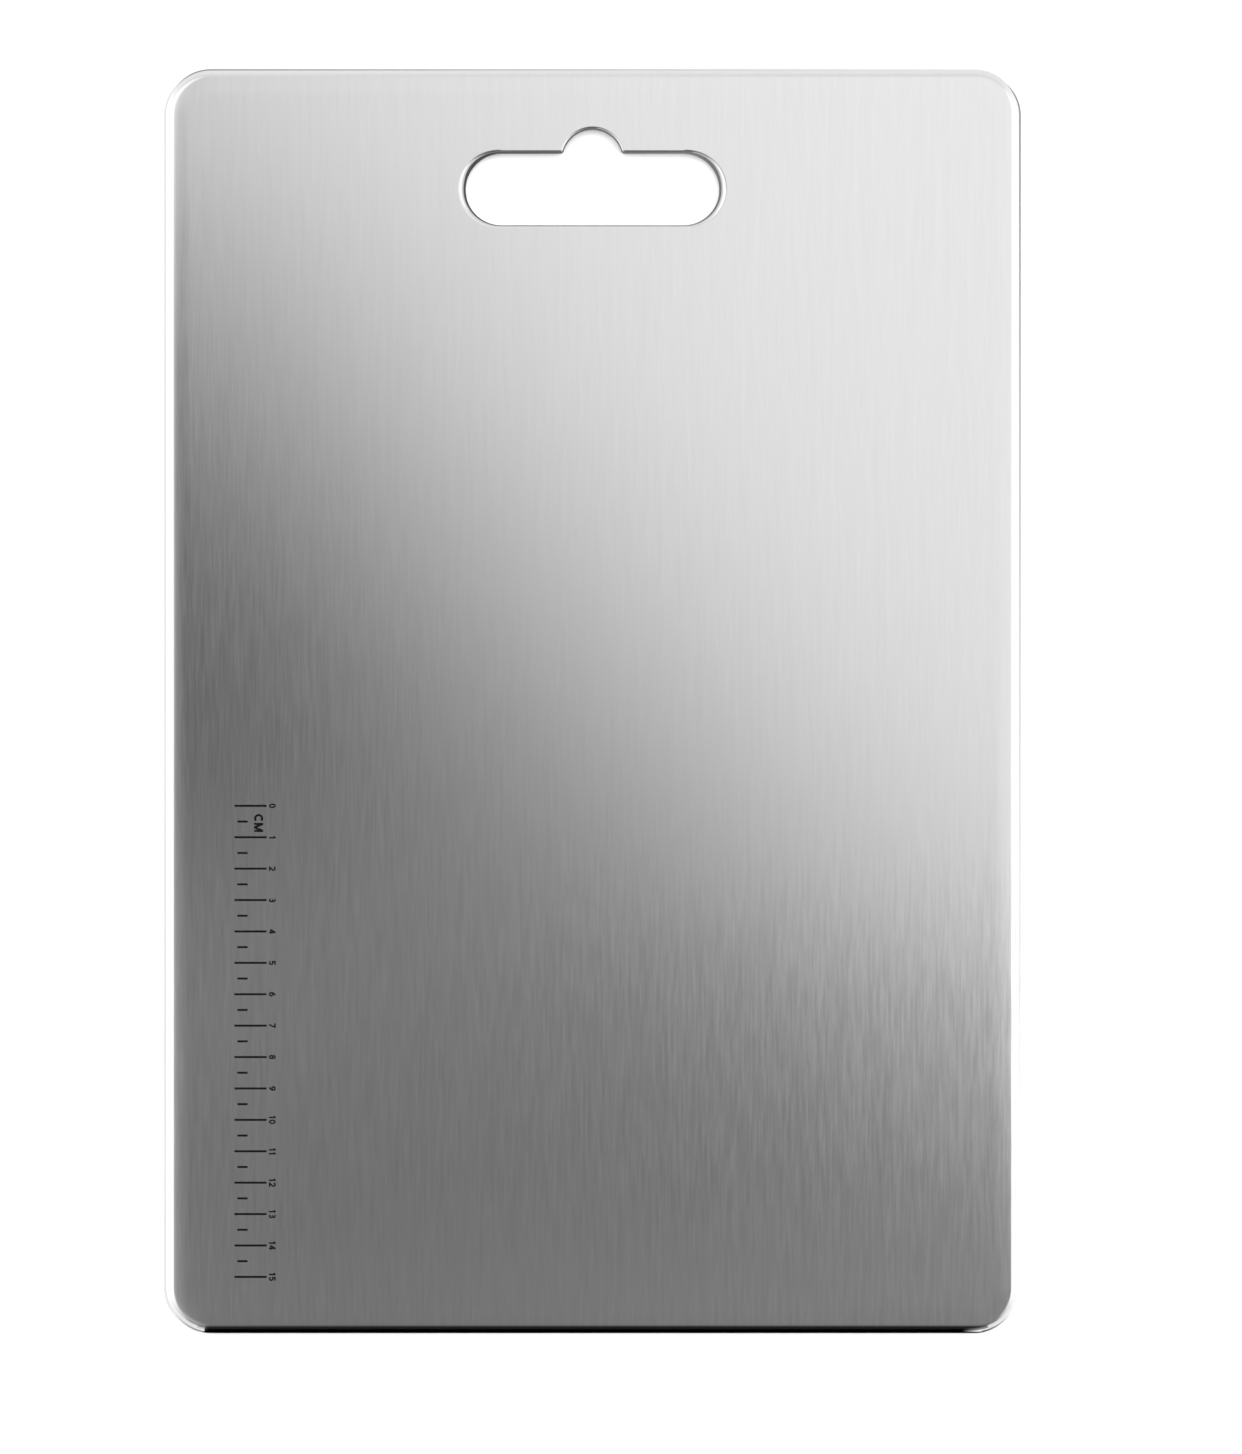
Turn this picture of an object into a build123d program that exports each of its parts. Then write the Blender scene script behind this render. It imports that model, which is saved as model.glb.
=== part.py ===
from build123d import *

import os

# Stainless steel cutting board with a hand slot, a hanging notch and a printed 15 cm scale.
#
# The board is a flat sandwich: a front skin of steel sheet, drawn down round the rim and round the slot and
# folded in underneath as a hem; a plastic core; and a flat back skin that the hem traps against the core.
# The scale is a film of ink on the cutting face.
#
# Frame: the board lies flat, cutting face up. +Z is out of the cutting face, +Y runs to the end with the
# slot, and the origin is at the middle of the board, on the surface it lies on. Millimetres.

# --- driving dimensions of the board ---
board_width = 273.5
board_length = 403.5
board_height = 5.0
corner_radius = 15.0
front_sheet = 0.8  # thickness of the front skin's steel
back_sheet = 0.6  # thickness of the back skin's steel
rim_roll = 3.4  # radius of the rolled rim at the cutting face
under_roll = 1.5  # radius where the side turns under into the hem
hem_width = 6.0  # how far the hem reaches in from the outside of the rim

# --- hand slot, with the hanging notch in its upper edge ---
slot_length = 80.9
slot_width = 23.1
slot_centre_y = 163.1
notch_radius = 9.6
notch_drop = 2.0  # how far the notch's centre lies below the slot's upper edge
notch_blend = 1.3  # radius of the two corners between notch and slot
slot_roll = 1.2  # radius of the slot's edge at the cutting face
slot_under_roll = 1.0  # radius where the slot's wall turns under into its hem
slot_hem = 5.0  # how far the slot's hem reaches under the back skin's edge
slot_hem_blend = 2.5  # radius of the hem's two corners below the notch

# --- fit inside the sandwich ---
core_gap = 0.05  # between the core's sides and the front skin
back_inset = 1.6  # back skin's edge, in from the outside of the rim and of the slot

# --- printed scale ---
ink_height = 0.05
scale_length_cm = 15
centimetre = 10.0
zero_line_y = 168.35 - board_length / 2
line_left_x = 22.75 - board_width / 2
line_length = 10.25
line_thickness = 0.66
dash_indent = 0.95  # a half-centimetre dash starts this far right of the long lines
dash_length = 3.25

# --- lettering: all of it reads down the board, with its tops towards +X ---
numeral_gap = 0.75  # between the end of a line and its number
numeral_height = 2.15
numeral_width = 1.45
one_width = 0.8  # the figure 1 is narrower than the others
numeral_stroke = 0.46
numeral_spacing = 0.42
letter_height = 2.85
letter_stroke = 0.68
c_gap_angle = 48  # half the angle of the opening of the letter C
m_width = 2.9
letter_spacing = 0.45
letters_left_x = -107.7
letters_below_zero = 2.6  # from the zero line to the first letter

# Heights of the layers, from the surface that the board lies on.
cavity_low = front_sheet
cavity_high = board_height - front_sheet
core_low = cavity_low + back_sheet


# --- board shapes: each is the board's outside, or the slot, moved in or out by one distance ---


def outline(inset):
    """The board's outline, moved inwards by inset."""
    return RectangleRounded(board_width - 2 * inset, board_length - 2 * inset, corner_radius - inset)


def slot_outline(growth, blend):
    """The slot with its notch, grown outwards by growth. Its two inner corners are rounded to blend, if any."""
    notch_y = slot_centre_y + slot_width / 2 - notch_drop
    slot = Pos(0, slot_centre_y) * SlotOverall(slot_length + 2 * growth, slot_width + 2 * growth)
    both = slot + Pos(0, notch_y) * Circle(notch_radius + growth)
    if blend <= 0:
        return both
    return fillet([v for v in both.vertices() if is_notch_corner(v, growth)], blend)


def is_notch_corner(vertex, growth):
    """True for the two corners where the notch's circle meets the slot's upper edge."""
    upper_edge = slot_centre_y + slot_width / 2 + growth
    return abs(vertex.Y - upper_edge) < 0.01 and abs(vertex.X) < notch_radius + growth


def slab(shape, low, high):
    """A plate of that outline between two heights."""
    return Pos(0, 0, low) * extrude(shape, high - low)


def level_edges(solid, height, inside_slot):
    """The edges at one height that run round the slot, or those that run round the rim."""
    reach = slot_width + notch_radius
    found = []
    for edge in solid.edges():
        box = edge.bounding_box()
        level = abs(box.min.Z - height) < 1e-3 and abs(box.max.Z - height) < 1e-3
        middle = edge.center(CenterOf.BOUNDING_BOX)
        near_slot = abs(middle.X) < slot_length * 0.6 and abs(middle.Y - slot_centre_y) < reach
        if level and near_slot == inside_slot:
            found.append(edge)
    return found


def rounded_plate(inset, low, high, rim_top, rim_low, slot_top, slot_low):
    """A plate with the slot through it, its four rims rounded to the given radii (0 leaves one sharp)."""
    plate = slab(outline(inset), low, high)
    for height, radius in ((high, rim_top), (low, rim_low)):
        if radius:
            plate = fillet(level_edges(plate, height, inside_slot=False), radius)
    plate = plate - slab(slot_outline(inset, notch_blend - inset), low, high)
    for height, radius in ((high, slot_top), (low, slot_low)):
        if radius:
            plate = fillet(level_edges(plate, height, inside_slot=True), radius)
    return plate


# --- the three pieces of the board ---


def make_front_skin():
    """Steel sheet: cutting face, rolled rim and slot edge, and the hems folded in underneath."""
    outside = rounded_plate(0, 0, board_height, rim_roll, under_roll, slot_roll, slot_under_roll)
    cavity = rounded_plate(
        front_sheet,
        cavity_low,
        cavity_high,
        rim_roll - front_sheet,
        under_roll - front_sheet,
        slot_roll - front_sheet,
        slot_under_roll - front_sheet,
    )
    back_opening = slab(outline(hem_width), -1, cavity_low)
    back_opening -= slab(slot_outline(slot_hem, slot_hem_blend), -1, cavity_low)
    return outside - cavity - back_opening


def make_core_board():
    """Plastic board that fills the front skin and carries both skins."""
    inset = front_sheet + core_gap
    return rounded_plate(inset, core_low, cavity_high, rim_roll - front_sheet, 0, slot_roll - front_sheet, 0)


def make_back_skin():
    """Flat steel sheet that lies on the core and is trapped under the hems."""
    return rounded_plate(back_inset, cavity_low, core_low, 0, 0, 0, 0)


# --- lettering, drawn in text coordinates: X along the reading direction, Y up the letters ---


def stroke(path, width=numeral_stroke):
    """A pen stroke of that width along a line or arc."""
    return trace(path, line_width=width)


def ring(centre_x, centre_y, radius):
    """A round bowl, given the radius of its pen line."""
    half = numeral_stroke / 2
    return Pos(centre_x, centre_y) * (Circle(radius + half) - Circle(radius - half))


def figure(digit):
    """One digit as a flat shape, with its lower left corner at the origin."""
    half = numeral_stroke / 2
    wide, tall = numeral_width, numeral_height
    left, right, low, high = half, wide - half, half, tall - half
    mid_x = wide / 2
    bowl = (right - left) / 2
    upper = 0.235 * (high - low)  # bowl radii of the 3 and the 8
    lower = 0.265 * (high - low)
    if digit == 0:
        shape = Ellipse(wide / 2, tall / 2) - Ellipse(wide / 2 - 2 * half, tall / 2 - 2 * half)
        return Pos(mid_x, tall / 2) * shape
    if digit == 1:
        stem = one_width - half
        shape = stroke(Line((stem, 0), (stem, tall)))
        shape += stroke(Line((0.1, tall - 0.6), (stem, high)))
        return shape & Pos(one_width / 2, tall / 2) * Rectangle(one_width, tall)
    if digit == 2:
        top = CenterArc((mid_x, high - bowl), bowl, 170, -216)
        shape = stroke(top)
        shape += stroke(Line(top @ 1, (left, low)))
        shape += stroke(Line((0, low), (wide, low)))
    elif digit == 3:
        middle = low + 2 * lower
        shape = stroke(CenterArc((right - lower, high - upper), upper, 150, -240))
        shape += stroke(CenterArc((right - lower, low + lower), lower, 90, -240))
        shape += stroke(Line((mid_x - 0.25, middle), (right - lower + 0.01, middle)))
    elif digit == 4:
        stem, bar = 0.72 * wide, 0.28 * tall
        shape = stroke(Line((stem, 0), (stem, tall)))
        shape += stroke(Line((0, bar), (wide, bar)))
        shape += stroke(Line((left, bar), (stem, high + 0.1)))
    elif digit == 5:
        belly = CenterArc((mid_x - 0.02, low + bowl), bowl, 132, -282)
        neck = belly @ 0
        shape = stroke(belly) + Pos(neck.X, neck.Y) * Circle(half)
        shape += stroke(Line(neck, (left + 0.14, tall)))
        shape += stroke(Line((left + 0.02, high), (wide - 0.1, high)))
    elif digit == 7:
        shape = stroke(Line((0, high), (wide, high)))
        shape += stroke(Line((right - 0.02, high), (0.3 * wide, 0)))
    elif digit == 8:
        shape = ring(mid_x, high - upper, upper)
        shape += ring(mid_x, low + lower, lower)
    else:
        tail = ThreePointArc((left, low + bowl), (left + 0.22, 0.7 * tall), (wide - 0.3, tall - 0.12))
        shape = ring(mid_x, low + bowl, bowl)
        shape += stroke(tail)
        if digit == 9:
            shape = Pos(wide, tall) * Rot(0, 0, 180) * shape
    return shape & Pos(mid_x, tall / 2) * Rectangle(wide, tall)


def figure_width(digit):
    """Width that a digit takes in its number."""
    return one_width if digit == 1 else numeral_width


def number(value):
    """The digits of a number as flat shapes, centred on the origin along the reading direction."""
    digits = [int(character) for character in str(value)]
    total = sum(figure_width(d) for d in digits) + numeral_spacing * (len(digits) - 1)
    shapes = []
    start = -total / 2
    for digit in digits:
        shapes.append(Pos(start, 0) * figure(digit))
        start += figure_width(digit) + numeral_spacing
    return shapes


def letters():
    """The letters C and M, starting at the origin."""
    half = letter_stroke / 2
    radius = letter_height / 2 - half
    c_arc = CenterArc((letter_height / 2, letter_height / 2), radius, c_gap_angle, 360 - 2 * c_gap_angle)
    letter_c = stroke(c_arc, letter_stroke)
    m_left = letter_c.bounding_box().max.X + letter_spacing
    m_right = m_left + m_width
    m_middle = (m_left + m_right) / 2
    letter_m = stroke(Line((m_left + half, 0), (m_left + half, letter_height)), letter_stroke)
    letter_m += stroke(Line((m_right - half, 0), (m_right - half, letter_height)), letter_stroke)
    for stem in (m_left + half, m_right - half):
        letter_m += stroke(Line((stem, letter_height), (m_middle, 0)), letter_stroke)
    letter_m += Pos(m_middle, half) * Rectangle(letter_stroke, letter_stroke)
    letter_m &= Pos(m_middle, letter_height / 2) * Rectangle(m_width, letter_height)
    return [letter_c, letter_m]


# --- ink on the cutting face ---


def ink(shapes):
    """Flat shapes as films of ink lying on the cutting face, each its own solid."""
    return Compound(children=[slab(shape, board_height, board_height + ink_height) for shape in shapes])


def reading_down(shapes, left_x, start_y):
    """Turns shapes from text coordinates so that they read down the board, from start_y, above left_x."""
    return [Pos(left_x, start_y) * Rot(0, 0, -90) * shape for shape in shapes]


def mark(left_x, length, y):
    """One line of the scale."""
    return Pos(left_x + length / 2, y) * Rectangle(length, line_thickness)


def make_centimetre_lines():
    """The long lines, one at each centimetre."""
    rows = [zero_line_y - centimetre * n for n in range(scale_length_cm + 1)]
    return ink([mark(line_left_x, line_length, y) for y in rows])


def make_half_centimetre_lines():
    """The short dashes, midway between the long lines."""
    rows = [zero_line_y - centimetre * (n + 0.5) for n in range(scale_length_cm)]
    return ink([mark(line_left_x + dash_indent, dash_length, y) for y in rows])


def make_numeral(value):
    """The number beside one long line."""
    left_x = line_left_x + line_length + numeral_gap
    return ink(reading_down(number(value), left_x, zero_line_y - centimetre * value))


def make_unit_letters():
    """The letters that name the unit, between the first two lines."""
    return ink(reading_down(letters(), letters_left_x, zero_line_y - letters_below_zero))


def write(node, shape):
    """Writes one node's solids to its own file."""
    shape.label = node
    export_step(shape, os.path.join("parts", node + ".step"))


os.makedirs("parts", exist_ok=True)
write("front_skin", make_front_skin())
write("core_board", make_core_board())
write("back_skin", make_back_skin())
write("centimetre_lines", make_centimetre_lines())
write("half_centimetre_lines", make_half_centimetre_lines())
for value in range(scale_length_cm + 1):
    write(f"numeral_{value}", make_numeral(value))
write("unit_letters", make_unit_letters())
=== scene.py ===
import math

import bmesh
import bpy
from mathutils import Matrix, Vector


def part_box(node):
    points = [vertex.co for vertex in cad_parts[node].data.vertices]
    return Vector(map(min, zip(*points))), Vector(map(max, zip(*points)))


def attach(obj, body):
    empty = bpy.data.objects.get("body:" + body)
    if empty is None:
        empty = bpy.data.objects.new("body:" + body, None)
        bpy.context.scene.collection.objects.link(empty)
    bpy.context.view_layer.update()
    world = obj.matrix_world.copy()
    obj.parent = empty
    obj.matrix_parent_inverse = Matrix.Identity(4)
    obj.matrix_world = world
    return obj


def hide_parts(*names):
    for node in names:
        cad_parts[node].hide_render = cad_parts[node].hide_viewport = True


# Looks for a stainless steel cutting board with a hand slot and a printed centimetre scale.
# Everything is in metres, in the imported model's frame: +Z out of the cutting face, +Y towards the slot.

MM = 0.001

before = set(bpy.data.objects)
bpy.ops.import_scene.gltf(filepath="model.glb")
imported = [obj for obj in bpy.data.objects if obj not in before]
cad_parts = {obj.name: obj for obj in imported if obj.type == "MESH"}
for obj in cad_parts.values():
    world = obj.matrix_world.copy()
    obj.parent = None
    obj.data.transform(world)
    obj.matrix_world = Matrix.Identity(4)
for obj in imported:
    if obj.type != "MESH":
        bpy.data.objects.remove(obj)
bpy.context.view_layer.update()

skin_low, skin_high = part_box("front_skin")
HALF_WIDTH = skin_high.x
HALF_LENGTH = skin_high.y
TOP = skin_high.z

# --- the front skin's own dimensions ---
CORNER = 15.0 * MM
SHEET = 0.8 * MM
RIM_ROLL = 3.6 * MM  # plan width of the rolled rim
SOFT_EDGE = 5.0 * MM  # the face starts to fall this far inside the rolled rim
SOFT_DROP = 0.08 * MM  # and has fallen this much where the roll starts
HEM = 6.0 * MM  # how far the hem reaches in under the board
SLOT_Y = 163.1 * MM
SLOT_END = 11.55 * MM  # radius of the slot's round ends
SLOT_STRAIGHT = 28.9 * MM  # half the length of its straight edges
NOTCH = 9.6 * MM
NOTCH_DROP = 2.0 * MM  # how far the notch's centre lies below the slot's upper edge
NOTCH_BLEND = 1.15 * MM  # radius of the two corners between notch and slot
SLOT_ROLL = 0.95 * MM  # plan width of the slot's rolled edge along its straights
END_ROLL = 2.4 * MM  # and at its round ends
END_DEEPER = 1.4 * MM  # the upper half of a round end rolls this much deeper than it is wide
NOTCH_ROLL = 0.75 * MM  # and round the notch
SLOT_UNDER = 1.6 * MM  # radius where the slot's wall turns under into its hem
SLOT_HEM = 5.0 * MM
SLOT_HEM_BLEND = 2.5 * MM
EDGE = 0.15 * MM  # the hem's cut edge is broken by this much

# --- how finely its curves are divided ---
CORNER_STEPS = 28
SOFT_STEPS = 6
ROLL_STEPS = 28
UNDER_STEPS = 10
SLOT_END_STEPS = 48
NOTCH_STEPS = 40
BLEND_STEPS = 10
SLOT_ROLL_STEPS = 20
SLOT_UNDER_STEPS = 6

QUARTER = math.pi / 2


# ---------- mesh of the front skin ----------


def arc(centre, radius, start, end, steps, facing=1):
    """Points on an arc, in degrees, each with a unit normal: outward, or inward if facing is -1."""
    found = []
    for k in range(steps + 1):
        angle = math.radians(start + (end - start) * k / steps)
        out = Vector((math.cos(angle), math.sin(angle)))
        found.append((Vector(centre) + out * radius, out * facing))
    return found


def rim_line(inset):
    """The board's outline moved in by inset, anticlockwise from the lower right corner."""
    radius = CORNER - inset
    x, y = HALF_WIDTH - CORNER, HALF_LENGTH - CORNER
    line = []
    for corner_x, corner_y, start in ((x, -y, -90), (x, y, 0), (-x, y, 90), (-x, -y, 180)):
        line += arc((corner_x, corner_y), radius, start, start + 90, CORNER_STEPS)
    return line


def slot_line(growth, blend_radius):
    """The slot with its notch, grown by growth; its normals point into the board."""
    end = SLOT_END + growth
    notch = NOTCH + growth
    top = SLOT_Y + end
    notch_y = SLOT_Y + SLOT_END - NOTCH_DROP
    rise = top + blend_radius - notch_y
    blend_x = math.sqrt((notch + blend_radius) ** 2 - rise**2)
    blend_y = top + blend_radius
    turn = math.degrees(math.atan2(rise, blend_x))
    line = arc((SLOT_STRAIGHT, SLOT_Y), end, -90, 90, SLOT_END_STEPS)
    line += arc((blend_x, blend_y), blend_radius, 270, 180 + turn, BLEND_STEPS, facing=-1)
    line += arc((0, notch_y), notch, turn, 180 - turn, NOTCH_STEPS)
    line += arc((-blend_x, blend_y), blend_radius, -turn, -90, BLEND_STEPS, facing=-1)
    line += arc((-SLOT_STRAIGHT, SLOT_Y), end, 90, 270, SLOT_END_STEPS)
    return line


def slot_roll(point, normal):
    """Plan width and depth of the slot's rolled edge at a point of its outline."""
    if abs(point.x) > SLOT_STRAIGHT:
        width = SLOT_ROLL + (END_ROLL - SLOT_ROLL) * abs(normal.x) ** 1.5
        return width, width + END_DEEPER * (2 * normal.x * max(normal.y, 0)) ** 2
    if point.y > SLOT_Y:
        return NOTCH_ROLL, NOTCH_ROLL
    return SLOT_ROLL, SLOT_ROLL


def rim_profile():
    """The rim's outer surface as (inset, height), from the flat face round to the hem's bottom."""
    points = []
    for k in range(SOFT_STEPS):
        t = k / SOFT_STEPS
        points.append((RIM_ROLL + SOFT_EDGE * (1 - t), TOP - SOFT_DROP * t * t))
    tilt = math.atan(2 * SOFT_DROP / SOFT_EDGE)
    roll = RIM_ROLL / (1 - math.sin(tilt))
    centre = TOP - SOFT_DROP - roll * math.cos(tilt)
    for k in range(ROLL_STEPS + 1):
        a = tilt + (QUARTER - tilt) * k / ROLL_STEPS
        points.append((roll * (1 - math.sin(a)), centre + roll * math.cos(a)))
    # below the roll's centre, a quarter circle takes up all the height that is left
    for k in range(1, UNDER_STEPS + 1):
        a = QUARTER + QUARTER * k / UNDER_STEPS
        points.append((centre * (1 - math.sin(a)), centre * (1 + math.cos(a))))
    return points


def ring(bm, line, height, offset=0.0):
    """A closed ring of vertices; offset moves points against their normals, or is a list of one per point."""
    offsets = offset if isinstance(offset, list) else [offset] * len(line)
    verts = []
    for (point, normal), distance in zip(line, offsets):
        at = point - normal * distance
        verts.append(bm.verts.new((at.x, at.y, height)))
    return verts


def bridge(bm, first, second, material):
    """A band of quads between two rings."""
    count = len(first)
    for k in range(count):
        n = (k + 1) % count
        face = bm.faces.new((first[k], first[n], second[n], second[k]))
        face.material_index = material
        face.smooth = True


def close_plate(bm, outer, inner, material):
    """The flat sheet between an outer ring and an inner ring."""
    edges = []
    for loop in (outer, inner):
        for k, vert in enumerate(loop):
            edges.append(bm.edges.get((vert, loop[(k + 1) % len(loop)])))
    made = bmesh.ops.triangle_fill(bm, use_beauty=True, use_dissolve=False, edges=edges)
    for item in made["geom"]:
        if isinstance(item, bmesh.types.BMFace):
            item.material_index = material
            item.smooth = False


def flat_uv(bm):
    """A UV map seen from above, in metres, so that the brushed grain has a direction."""
    layer = bm.loops.layers.uv.new("flat")
    for face in bm.faces:
        for loop in face.loops:
            loop[layer].uv = (loop.vert.co.x, loop.vert.co.y)


BRUSHED, POLISHED = 0, 1


def make_rim(bm):
    """The rim from the face round to the hem, and back along the inside of the sheet; its two end rings."""
    rim = rim_line(0)
    profile = rim_profile()
    materials = [BRUSHED if inset > RIM_ROLL else POLISHED for inset, height in profile[:-1]]
    hem = [(HEM - EDGE, 0), (HEM, EDGE), (HEM, SHEET - EDGE), (HEM - EDGE, SHEET), (2 * SHEET, SHEET)]
    inside = [(SHEET, 2 * SHEET), (SHEET, TOP - RIM_ROLL), (RIM_ROLL - SHEET, TOP - 2 * SHEET)]
    inside += [(RIM_ROLL, TOP - SHEET - SOFT_DROP), (RIM_ROLL + SOFT_EDGE, TOP - SHEET)]
    rings = [ring(bm, rim, height, inset) for inset, height in profile + hem + inside]
    materials += [POLISHED] * len(hem + inside)
    for k, material in enumerate(materials):
        bridge(bm, rings[k], rings[k + 1], material)
    return rings[0], rings[-1]


def make_slot_edge(bm):
    """The slot's edge in the same order as the rim: roll, wall, hem, inside; its two end rings."""
    slot = slot_line(0, NOTCH_BLEND)
    rolls = [slot_roll(point, normal) for point, normal in slot]
    rings = []
    for k in range(SLOT_ROLL_STEPS + 1):
        a = QUARTER * k / SLOT_ROLL_STEPS
        verts = ring(bm, slot, TOP, [-width * (1 - math.sin(a)) for width, depth in rolls])
        for vert, (width, depth) in zip(verts, rolls):
            vert.co.z -= depth * (1 - math.cos(a))
        rings.append(verts)
    for k in range(SLOT_UNDER_STEPS + 1):
        a = QUARTER * k / SLOT_UNDER_STEPS
        rings.append(ring(bm, slot, SLOT_UNDER * (1 - math.sin(a)), -SLOT_UNDER * (1 - math.cos(a))))
    hem = [(SLOT_HEM - EDGE, 0), (SLOT_HEM, EDGE), (SLOT_HEM, SHEET - EDGE), (SLOT_HEM - EDGE, SHEET)]
    for growth, height in hem:
        rings.append(ring(bm, slot_line(growth, SLOT_HEM_BLEND), height))
    for height in (SHEET, TOP - 2.5 * SHEET):
        rings.append(ring(bm, slot, height, -SHEET))
    rings.append(ring(bm, slot_line(3 * SHEET, 0.1 * SHEET), TOP - SHEET))
    for k in range(len(rings) - 1):
        bridge(bm, rings[k], rings[k + 1], POLISHED)
    return rings[0], rings[-1]


def make_front_skin():
    """The drawn steel skin: cutting face, rolled rim and slot edge, hems, and the inside of the sheet."""
    bm = bmesh.new()
    rim_face, rim_inside = make_rim(bm)
    slot_face, slot_inside = make_slot_edge(bm)
    close_plate(bm, rim_face, slot_face, BRUSHED)
    close_plate(bm, rim_inside, slot_inside, POLISHED)
    bmesh.ops.remove_doubles(bm, verts=bm.verts, dist=1e-7)
    bmesh.ops.recalc_face_normals(bm, faces=bm.faces)
    flat_uv(bm)
    mesh = bpy.data.meshes.new("front_skin_drawn")
    bm.to_mesh(mesh)
    bm.free()
    skin = bpy.data.objects.new("front_skin_drawn", mesh)
    bpy.context.scene.collection.objects.link(skin)
    return skin


# ---------- arithmetic in node trees ----------


def feed(tree, socket, value):
    """Sets an input to a plain number, or links a Value to it."""
    if isinstance(value, Value):
        tree.links.new(value.socket, socket)
    else:
        socket.default_value = value


class Value:
    """A number, or a colour, in a node tree. Arithmetic on it adds the nodes that work it out."""

    def __init__(self, tree, socket):
        self.tree = tree
        self.socket = socket

    def run(self, operation, *values):
        node = self.tree.nodes.new("ShaderNodeMath")
        node.operation = operation
        for socket, value in zip(node.inputs, values):
            feed(self.tree, socket, value)
        return Value(self.tree, node.outputs[0])

    def __add__(self, other):
        return self.run("ADD", self, other)

    def __sub__(self, other):
        return self.run("SUBTRACT", self, other)

    def __rsub__(self, other):
        return self.run("SUBTRACT", other, self)

    def __mul__(self, other):
        return self.run("MULTIPLY", self, other)

    def __truediv__(self, other):
        return self.run("DIVIDE", self, other)

    def size(self):
        return self.run("ABSOLUTE", self)

    def root(self):
        return self.run("SQRT", self)

    def at_least(self, low):
        return self.run("MAXIMUM", self, low)

    def at_most(self, high):
        return self.run("MINIMUM", self, high)

    def step(self, start, end):
        """Rises smoothly from 0 to 1 as the value goes from start to end."""
        node = self.tree.nodes.new("ShaderNodeMapRange")
        node.interpolation_type = "SMOOTHSTEP"
        feed(self.tree, node.inputs["Value"], self)
        node.inputs["From Min"].default_value = start
        node.inputs["From Max"].default_value = end
        return Value(self.tree, node.outputs["Result"])


def blend(factor, first, second):
    """first where factor is 0, second where it is 1."""
    node = factor.tree.nodes.new("ShaderNodeMix")
    for index, value in ((0, factor), (2, first), (3, second)):
        feed(factor.tree, node.inputs[index], value)
    return Value(factor.tree, node.outputs[0])


def coordinates(tree, kind):
    """The x, y and z of one kind of texture coordinates."""
    source = tree.nodes.new("ShaderNodeTexCoord")
    split = tree.nodes.new("ShaderNodeSeparateXYZ")
    tree.links.new(source.outputs[kind], split.inputs["Vector"])
    return [Value(tree, output) for output in split.outputs]


def grey(value):
    """A number as a grey colour."""
    combine = value.tree.nodes.new("ShaderNodeCombineColor")
    for channel in ("Red", "Green", "Blue"):
        feed(value.tree, combine.inputs[channel], value)
    return Value(value.tree, combine.outputs["Color"])


# ---------- materials ----------

NOISE_LOW, NOISE_HIGH = 0.3, 0.7  # most of the noise lies between these, and the rest is cut off


def new_material(name, metallic=0.0):
    """A material with a Principled shader, and its node tree."""
    material = bpy.data.materials.new(name)
    material.use_nodes = True
    tree = material.node_tree
    shader = tree.nodes["Principled BSDF"]
    shader.inputs["Metallic"].default_value = metallic
    return material, tree, shader


def streaks(tree, across, along, detail, low, high):
    """Noise drawn out along the board, from low to high; across and along are the streaks' sizes."""
    coords = tree.nodes.new("ShaderNodeTexCoord")
    mapping = tree.nodes.new("ShaderNodeMapping")
    mapping.inputs["Scale"].default_value = (1 / across, 1 / along, 1 / across)
    noise = tree.nodes.new("ShaderNodeTexNoise")
    noise.inputs["Scale"].default_value = 1.0
    noise.inputs["Detail"].default_value = detail
    ranged = tree.nodes.new("ShaderNodeMapRange")
    ranged.inputs["From Min"].default_value = NOISE_LOW
    ranged.inputs["From Max"].default_value = NOISE_HIGH
    ranged.inputs["To Min"].default_value = low
    ranged.inputs["To Max"].default_value = high
    tree.links.new(coords.outputs["Object"], mapping.inputs["Vector"])
    tree.links.new(mapping.outputs["Vector"], noise.inputs["Vector"])
    tree.links.new(noise.outputs["Fac"], ranged.inputs["Value"])
    return Value(tree, ranged.outputs["Result"])


def colour(tree, shader, tone, roughness):
    """Gives a shader its grey tone and its roughness."""
    feed(tree, shader.inputs["Base Color"], grey(tone))
    feed(tree, shader.inputs["Roughness"], roughness)


def brushed_face():
    """Satin stainless steel, brushed along the board. The brushing shows most on the lower right."""
    material, tree, shader = new_material("brushed_steel_face", metallic=1.0)
    shader.inputs["Anisotropic"].default_value = 0.75
    tangent = tree.nodes.new("ShaderNodeTangent")
    tangent.direction_type = "UV_MAP"
    tangent.uv_map = "flat"
    tree.links.new(tangent.outputs["Tangent"], shader.inputs["Tangent"])
    x, y, _ = coordinates(tree, "Object")
    lower = blend(x.step(-70 * MM, 90 * MM), 0.8, 1.7)  # stronger to the right
    lower *= blend(y.step(-190 * MM, -140 * MM), 0.45, 1.0)  # and weaker along the near end
    wear = blend(y.step(-105 * MM, -30 * MM), lower, 0.15)  # the upper part is nearly plain
    fine = streaks(tree, across=0.9 * MM, along=14 * MM, detail=3, low=-0.045, high=0.045)
    broad = streaks(tree, across=2.2 * MM, along=45 * MM, detail=2, low=0.635, high=0.645)
    rough = streaks(tree, across=0.6 * MM, along=14 * MM, detail=2, low=0.105, high=0.12)
    colour(tree, shader, fine * wear + broad, rough)
    bump = tree.nodes.new("ShaderNodeBump")
    bump.inputs["Strength"].default_value = 0.1
    bump.inputs["Distance"].default_value = 0.002 * MM
    grain = streaks(tree, across=0.35 * MM, along=9 * MM, detail=3, low=0.0, high=1.0)
    feed(tree, bump.inputs["Height"], grain)
    tree.links.new(bump.outputs["Normal"], shader.inputs["Normal"])
    return material


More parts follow.
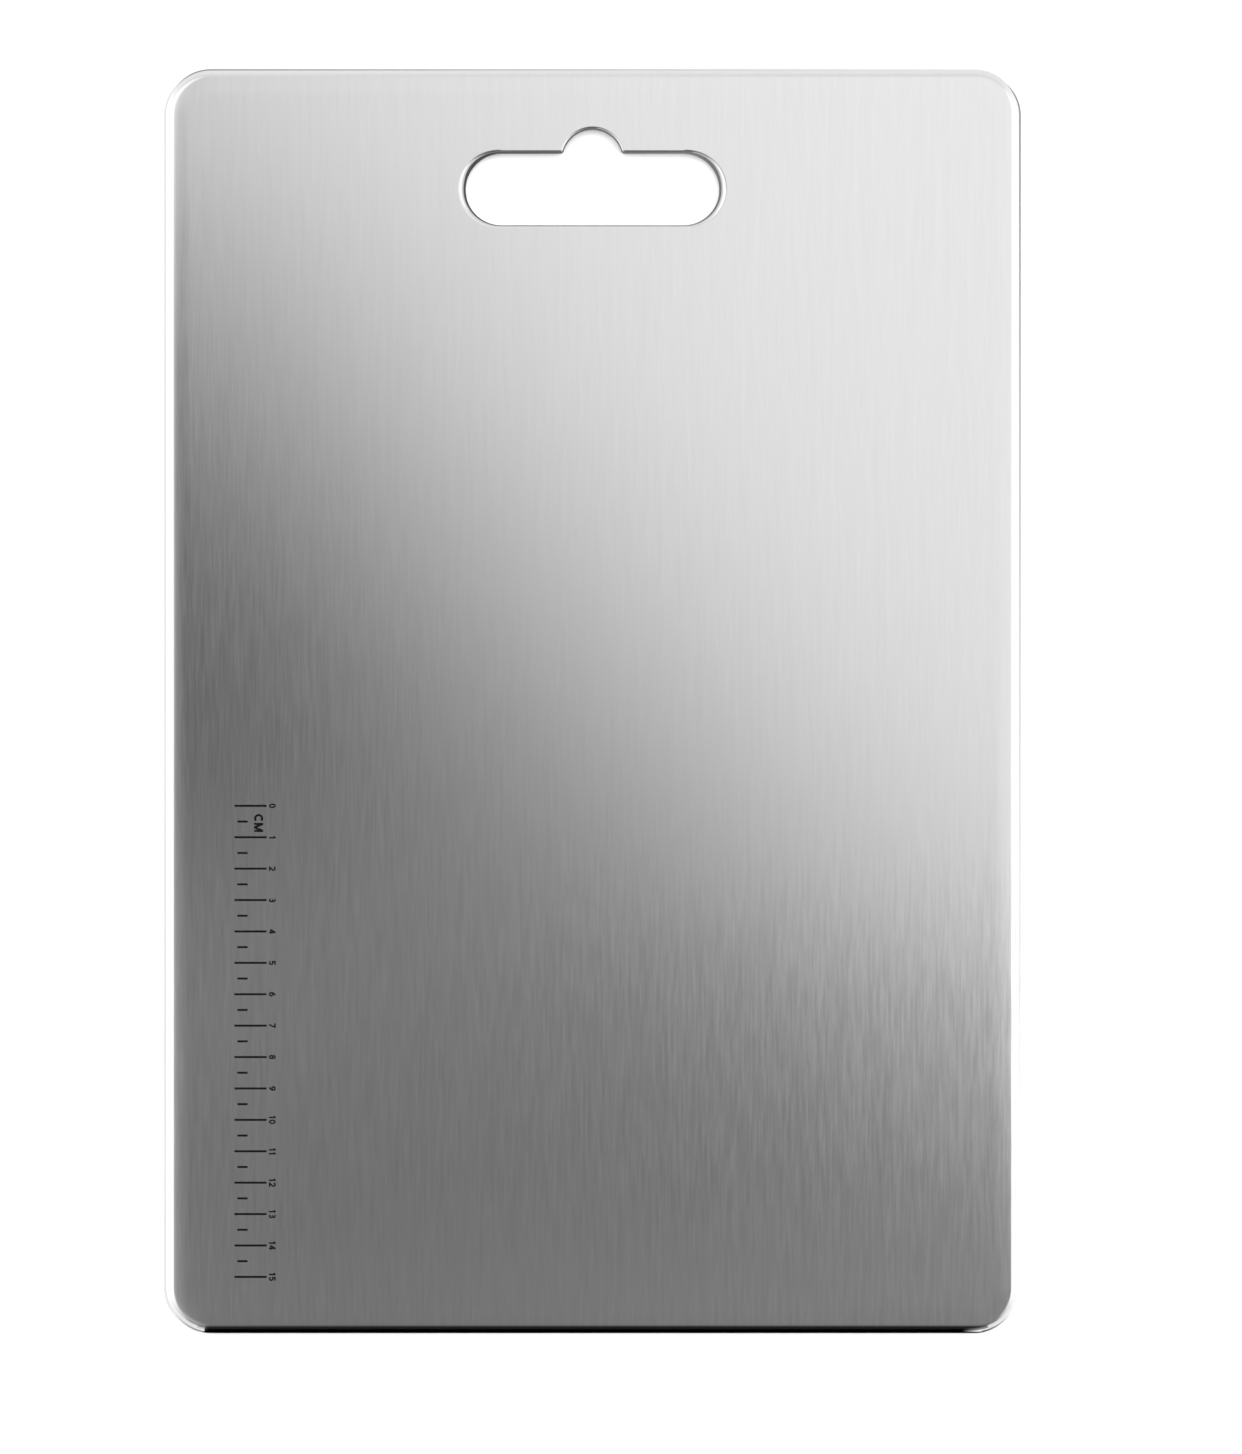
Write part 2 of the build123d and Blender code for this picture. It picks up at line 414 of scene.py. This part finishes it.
def polished_rim():
    """Buffed stainless steel of the rolled edges."""
    material, tree, shader = new_material("polished_steel_rim", metallic=1.0)
    tone = streaks(tree, across=2 * MM, along=3 * MM, detail=2, low=0.62, high=0.66)
    rough = streaks(tree, across=1.2 * MM, along=1.6 * MM, detail=2, low=0.07, high=0.11)
    colour(tree, shader, tone, rough)
    return material


def satin_back():
    """Plain rolled sheet of the back skin."""
    material, tree, shader = new_material("satin_steel_back", metallic=1.0)
    tone = streaks(tree, across=1.5 * MM, along=30 * MM, detail=3, low=0.54, high=0.58)
    rough = streaks(tree, across=1.0 * MM, along=18 * MM, detail=2, low=0.30, high=0.36)
    colour(tree, shader, tone, rough)
    return material


def core_plastic():
    """Natural polypropylene of the core."""
    material, tree, shader = new_material("core_polypropylene")
    tone = streaks(tree, across=4 * MM, along=4 * MM, detail=3, low=0.70, high=0.76)
    colour(tree, shader, tone, 0.5)
    return material


def scale_ink():
    """Black screen-printed ink."""
    material, tree, shader = new_material("scale_ink")
    tone = streaks(tree, across=0.3 * MM, along=0.3 * MM, detail=2, low=0.001, high=0.003)
    colour(tree, shader, tone, 0.5)
    shader.inputs["Specular IOR Level"].default_value = 0.1
    return material


def dress(obj, *materials):
    """Replaces an object's materials."""
    obj.data.materials.clear()
    for material in materials:
        obj.data.materials.append(material)


skin = make_front_skin()
dress(skin, brushed_face(), polished_rim())
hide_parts("front_skin")
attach(skin, "root")

dress(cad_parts["back_skin"], satin_back())
dress(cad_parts["core_board"], core_plastic())
ink = scale_ink()
for name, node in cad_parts.items():
    if name.startswith("numeral") or name in ("centimetre_lines", "half_centimetre_lines", "unit_letters"):
        dress(node, ink)


# ---------- camera ----------

CAMERA_X = 9.1 * MM  # the camera looks straight down, a little right of the board's middle
CAMERA_Y = -8.3 * MM  # and a little below it
CAMERA_RISE = 1.5  # above the cutting face
VIEW_LENGTH = 463.0 * MM  # what the picture's long side shows at the cutting face

camera_data = bpy.data.cameras.new("camera")
camera_data.sensor_width = 36.0
camera_data.lens = camera_data.sensor_width * CAMERA_RISE / VIEW_LENGTH
camera_data.clip_start = 0.05
camera_data.clip_end = 50.0
camera = bpy.data.objects.new("camera", camera_data)
camera.location = (CAMERA_X, CAMERA_Y, TOP + CAMERA_RISE)
bpy.context.scene.collection.objects.link(camera)
bpy.context.scene.camera = camera


# ---------- studio: floor and sheets ----------

FLOOR_HALF = 20.0
SOFTBOX_SIZE = 3.0
SOFTBOX_PLACE = Vector((0.4, 0.5, 3.0))
SOFTBOX_POWER = 75.0  # watts


def studio_piece(name, verts, faces):
    """A sheet that is part of the studio."""
    mesh = bpy.data.meshes.new(name)
    mesh.from_pydata(verts, [], faces)
    obj = bpy.data.objects.new(name, mesh)
    bpy.context.scene.collection.objects.link(obj)
    return obj


def level_sheet(name, low, high, height):
    """A level rectangle."""
    corners = [(low[0], low[1]), (high[0], low[1]), (high[0], high[1]), (low[0], high[1])]
    return studio_piece(name, [(x, y, height) for x, y in corners], [(0, 1, 2, 3)])


def standing_sheet(name, line, low, high):
    """An upright strip along a line of (x, y) points, from height low to height high."""
    verts = [(x, y, z) for x, y in line for z in (low, high)]
    faces = [(2 * k, 2 * k + 2, 2 * k + 3, 2 * k + 1) for k in range(len(line) - 1)]
    return studio_piece(name, verts, faces)


def make_floor():
    """The pale floor."""
    floor = level_sheet("floor", (-FLOOR_HALF, -FLOOR_HALF), (FLOOR_HALF, FLOOR_HALF), 0)
    material, _, shader = new_material("floor_white")
    shader.inputs["Base Color"].default_value = (0.9, 0.9, 0.9, 1)
    shader.inputs["Roughness"].default_value = 1.0
    shader.inputs["Specular IOR Level"].default_value = 0.0
    dress(floor, material)


def make_softbox():
    """A broad softbox that lights the floor evenly and isn't mirrored in the steel."""
    data = bpy.data.lights.new("softbox", "AREA")
    data.shape = "SQUARE"
    data.size = SOFTBOX_SIZE
    data.energy = SOFTBOX_POWER
    light = bpy.data.objects.new("softbox", data)
    light.location = SOFTBOX_PLACE
    light.rotation_euler = (-SOFTBOX_PLACE).to_track_quat("-Z", "Y").to_euler()
    light.visible_glossy = False
    bpy.context.scene.collection.objects.link(light)


# ---------- studio: surroundings, as radiance by direction ----------
# A direction has x to the right, y to the board's slot end and z up, and its length is 1. A step's two
# numbers say where it starts and stops. The camera is far above the board, so the face mirrors only a small
# part of the ceiling to it, and that part carries the face's whole shading.

RIGHT = (-0.01, 0.01)  # in x: from the left half to the right half
OVERHEAD = (0.25, 0.60)  # in z: from the front's low part to its part overhead
MIRRORED_X = (-0.11, 0.09)  # about the part of the ceiling that the face mirrors to the camera
MIRRORED_Y = (-0.13, 0.135)
DIAGONAL_X, DIAGONAL_Y = 0.72, 0.69  # the ceiling brightens along this line, to the upper right
CEILING_DULL, CEILING_BRIGHT = 0.235, 1.15  # radiance of its two ends
CEILING_RISE = (-0.044, 0.058)  # where it starts and stops rising
WALL_LEFT, WALL_RIGHT, WALL_HIGH = 1.45, 1.12, 1.08  # behind: low on the left and right, and higher up
FRONT_SHADE = 0.07  # the two dark areas overhead in front
AHEAD, AHEAD_LOW = 0.15, 0.40  # least radiance of the front, overhead and near the horizon
SIDE = 1.7  # walls to the left and right
HORIZON = 0.95  # greatest radiance low down
NO_LIMIT = 2.0  # brighter than any part of the studio


def ceiling_radiance(x, y):
    """Dull to the lower left, bright to the upper right, and even beyond what the face mirrors."""
    forward, leftward = y * -1.0, x * -1.0
    near_x = x.at_least(MIRRORED_X[0]).at_most(MIRRORED_X[1])
    near_y = y.at_least(MIRRORED_Y[0]).at_most(MIRRORED_Y[1])
    lower_right = x.step(0.0, 0.04) * forward.step(0.03, 0.055)
    diagonal = near_x * DIAGONAL_X + near_y * DIAGONAL_Y - lower_right * 0.008
    left_dim = leftward.step(0.02, 0.10) * y.step(-0.06, 0.01)
    dull = blend(left_dim, CEILING_DULL, 0.1 * CEILING_DULL)
    ceiling = blend(diagonal.step(*CEILING_RISE), dull, CEILING_BRIGHT) + diagonal.at_least(0.0) * 0.9
    left_glow = leftward.step(0.14, 0.24) * y.step(-0.04, 0.02) * 0.6 + leftward.step(0.10, 0.20) * 0.4
    lower_left_dim = (diagonal + 0.07).at_most(0.0)  # zero or less
    near_end_glow = forward.step(0.102, 0.122) * 0.05
    upper_left_dim = leftward.step(-0.03, 0.05) * y.step(0.06, 0.11) * 0.04
    return ceiling + left_glow + lower_left_dim + near_end_glow - upper_left_dim


def wall_behind(x, z):
    """An even wall, with a brighter strip along the floor on the left."""
    strip = blend(x.step(-0.12, 0.08), WALL_LEFT, WALL_RIGHT)
    return blend(z.step(0.15, 0.5), strip, WALL_HIGH)


def front_sides(x, z):
    """The front by how far it swings to either side: dark straight ahead, and pale to both sides."""
    flat_part = (1.0001 - z * z).root()
    swing = x.size() / flat_part
    left = swing.step(0.14, 0.19) + swing.step(0.70, 0.98) * 0.7
    right = swing.step(0.12, 0.60) * 1.05 + swing.step(0.75, 0.97) * 0.65
    least = blend(z.step(*OVERHEAD), AHEAD_LOW, AHEAD)
    return blend(x.step(*RIGHT), left, right).at_least(least)


def surrounding_radiance(x, y, z):
    """Radiance of the whole studio: ceiling, then the walls that stand in front of it, one after another."""
    aside, forward = x.size(), y * -1.0
    radiance = blend(y.step(0.25, 0.8), ceiling_radiance(x, y), wall_behind(x, z))
    # in front: dark overhead to both sides, and lower down as front_sides says
    shade = forward.step(0.14, 0.21) * (aside - forward).step(0.0, 0.05)
    radiance = blend(shade, radiance, FRONT_SHADE)
    sides = front_sides(x, z)
    front = blend(z.step(*OVERHEAD), sides, sides * 0.3)
    radiance = blend(forward.step(0.38, 0.82), radiance, front)
    # bright walls to the left and right, which start later towards the back and towards the front
    lean = blend(x.step(*RIGHT), 0.65, 0.60)
    ahead = (forward - 0.13).at_least(0.0)
    reach = aside - y.at_least(0.0) * lean - ahead * 0.45
    side = blend(forward.step(0.14, 0.30), SIDE, sides)
    radiance = blend(reach.step(0.18, 0.33), radiance, side)
    # low down nothing is brighter than the horizon
    return radiance.at_most(blend(z.step(0.44, 0.68), HORIZON, NO_LIMIT))


def make_surroundings():
    """The studio as the world, and plain white where the camera itself looks past the floor."""
    world = bpy.data.worlds.new("studio")
    bpy.context.scene.world = world
    world.use_nodes = True
    tree = world.node_tree
    studio = tree.nodes["Background"]
    plain = tree.nodes.new("ShaderNodeBackground")
    for background in (studio, plain):
        background.inputs["Color"].default_value = (1, 1, 1, 1)
    feed(tree, studio.inputs["Strength"], surrounding_radiance(*coordinates(tree, "Generated")))
    plain.inputs["Strength"].default_value = 1.0
    seen = tree.nodes.new("ShaderNodeLightPath")
    mix = tree.nodes.new("ShaderNodeMixShader")
    tree.links.new(seen.outputs["Is Camera Ray"], mix.inputs[0])
    tree.links.new(studio.outputs[0], mix.inputs[1])
    tree.links.new(plain.outputs[0], mix.inputs[2])
    tree.links.new(mix.outputs[0], tree.nodes["World Output"].inputs["Surface"])


# ---------- studio: cards that show only in reflections ----------

CARD_LIFT = 0.05 * MM  # floor cards lie this far above the floor
CARD_REACH = 9 * MM  # and reach this far out from the board
CARD_GAP = 4 * MM  # upright cards stand this far outside the rim
WHITE_LOW, WHITE_HIGH = 2.2 * MM, 11 * MM  # lower and upper edge of the upright white card
WHITE_SKIP = 6  # points of the outline that it leaves out at each end
WHITE, WHITE_SIDES = 1.2, 1.7  # its radiance at its two ends and along the sides
BLACK_HEIGHT = 16 * MM
BLACK_LEFT = -HALF_WIDTH + 12 * MM  # ends of the black cards at the board's near end
BLACK_RIGHT = HALF_WIDTH - 11 * MM


def as_card(sheet):
    """Makes a sheet show only in reflections; returns its node tree, and its x, y and z from 0 to 1."""
    material = bpy.data.materials.new(sheet.name)
    material.use_nodes = True
    tree = material.node_tree
    tree.nodes.remove(tree.nodes["Principled BSDF"])
    dress(sheet, material)
    sheet.visible_camera = False
    sheet.visible_diffuse = False
    sheet.visible_shadow = False
    return tree, coordinates(tree, "Generated")


def shine(tree, radiance, fade):
    """Gives a card its radiance; where fade is 1 the card is clear."""
    emission = tree.nodes.new("ShaderNodeEmission")
    clear = tree.nodes.new("ShaderNodeBsdfTransparent")
    mix = tree.nodes.new("ShaderNodeMixShader")
    feed(tree, emission.inputs["Strength"], radiance)
    feed(tree, mix.inputs[0], fade)
    tree.links.new(emission.outputs[0], mix.inputs[1])
    tree.links.new(clear.outputs[0], mix.inputs[2])
    tree.links.new(mix.outputs[0], tree.nodes["Material Output"].inputs["Surface"])


def floor_card(name, low, high, start, end, along_y=False):
    """A card just above the floor; its radiance goes from start to end along X, or along Y."""
    tree, (x, y, _) = as_card(level_sheet(name, low, high, CARD_LIFT))
    shine(tree, blend(y if along_y else x, start, end), 0.0)


def make_contact_shade_cards():
    """Narrow cards on the floor, which give the rolled rim and the slot a thin outline. Their radiance is
    mostly below that of the floor and walls round them. That radiance is painted shade: it stands in for the
    floor's contact shadow round the board, as the rolled rim and the slot's edge mirror it.
    """
    x, y = HALF_WIDTH, HALF_LENGTH
    far_x, far_y = x + CARD_REACH, y + CARD_REACH
    slot_x = SLOT_STRAIGHT + SLOT_END
    floor_card("card_back", (-far_x, y), (far_x, far_y), start=0.5, end=1.25)
    floor_card("card_left", (-far_x, -y), (-x, y), start=1.2, end=1.2)
    floor_card("card_right", (x, -y), (far_x, y), start=1.7, end=0.45, along_y=True)
    floor_card("card_front_left", (-far_x, -far_y), (BLACK_LEFT, -y), start=0.5, end=0.5)
    floor_card("card_front_right", (BLACK_RIGHT, -far_y), (far_x, -y), start=0.1, end=1.2)
    floor_card("card_front", (BLACK_LEFT, -y - CARD_GAP), (BLACK_RIGHT, -y), start=0.0, end=0.0)
    # painted shade: the slot card stands in for the shaded floor under the slot, as the slot's edge mirrors
    # it
    slot_low, slot_high = (-slot_x, SLOT_Y - SLOT_END), (slot_x, SLOT_Y + 2 * SLOT_END)
    floor_card("card_slot", slot_low, slot_high, start=0.1, end=0.3)


def make_upright_white():
    """A low card round the sides and the far end, which fades out towards its top."""
    line = [(point.x, point.y) for point, normal in rim_line(-CARD_GAP)]
    line = line[WHITE_SKIP:-WHITE_SKIP]
    tree, (_, y, z) = as_card(standing_sheet("upright_white", line, WHITE_LOW, WHITE_HIGH))
    radiance = blend(y.step(0.0, 0.045), WHITE, WHITE_SIDES)
    radiance = blend(y.step(0.96, 0.995), radiance, WHITE)
    shine(tree, radiance, z.step(0.49, 1.0))


def make_upright_black():
    """A low black card along the near end, which fades out towards its top and its right end."""
    line = [(x, -HALF_LENGTH - CARD_GAP) for x in (BLACK_LEFT, BLACK_RIGHT)]
    tree, (x, _, z) = as_card(standing_sheet("upright_black", line, 0, BLACK_HEIGHT))
    shine(tree, 0.0, z.step(0.32, 1.0).at_least(x.step(0.97, 1.0)))


make_floor()
make_surroundings()
make_softbox()
make_contact_shade_cards()
make_upright_white()
make_upright_black()

bpy.context.scene.view_settings.view_transform = "Standard"
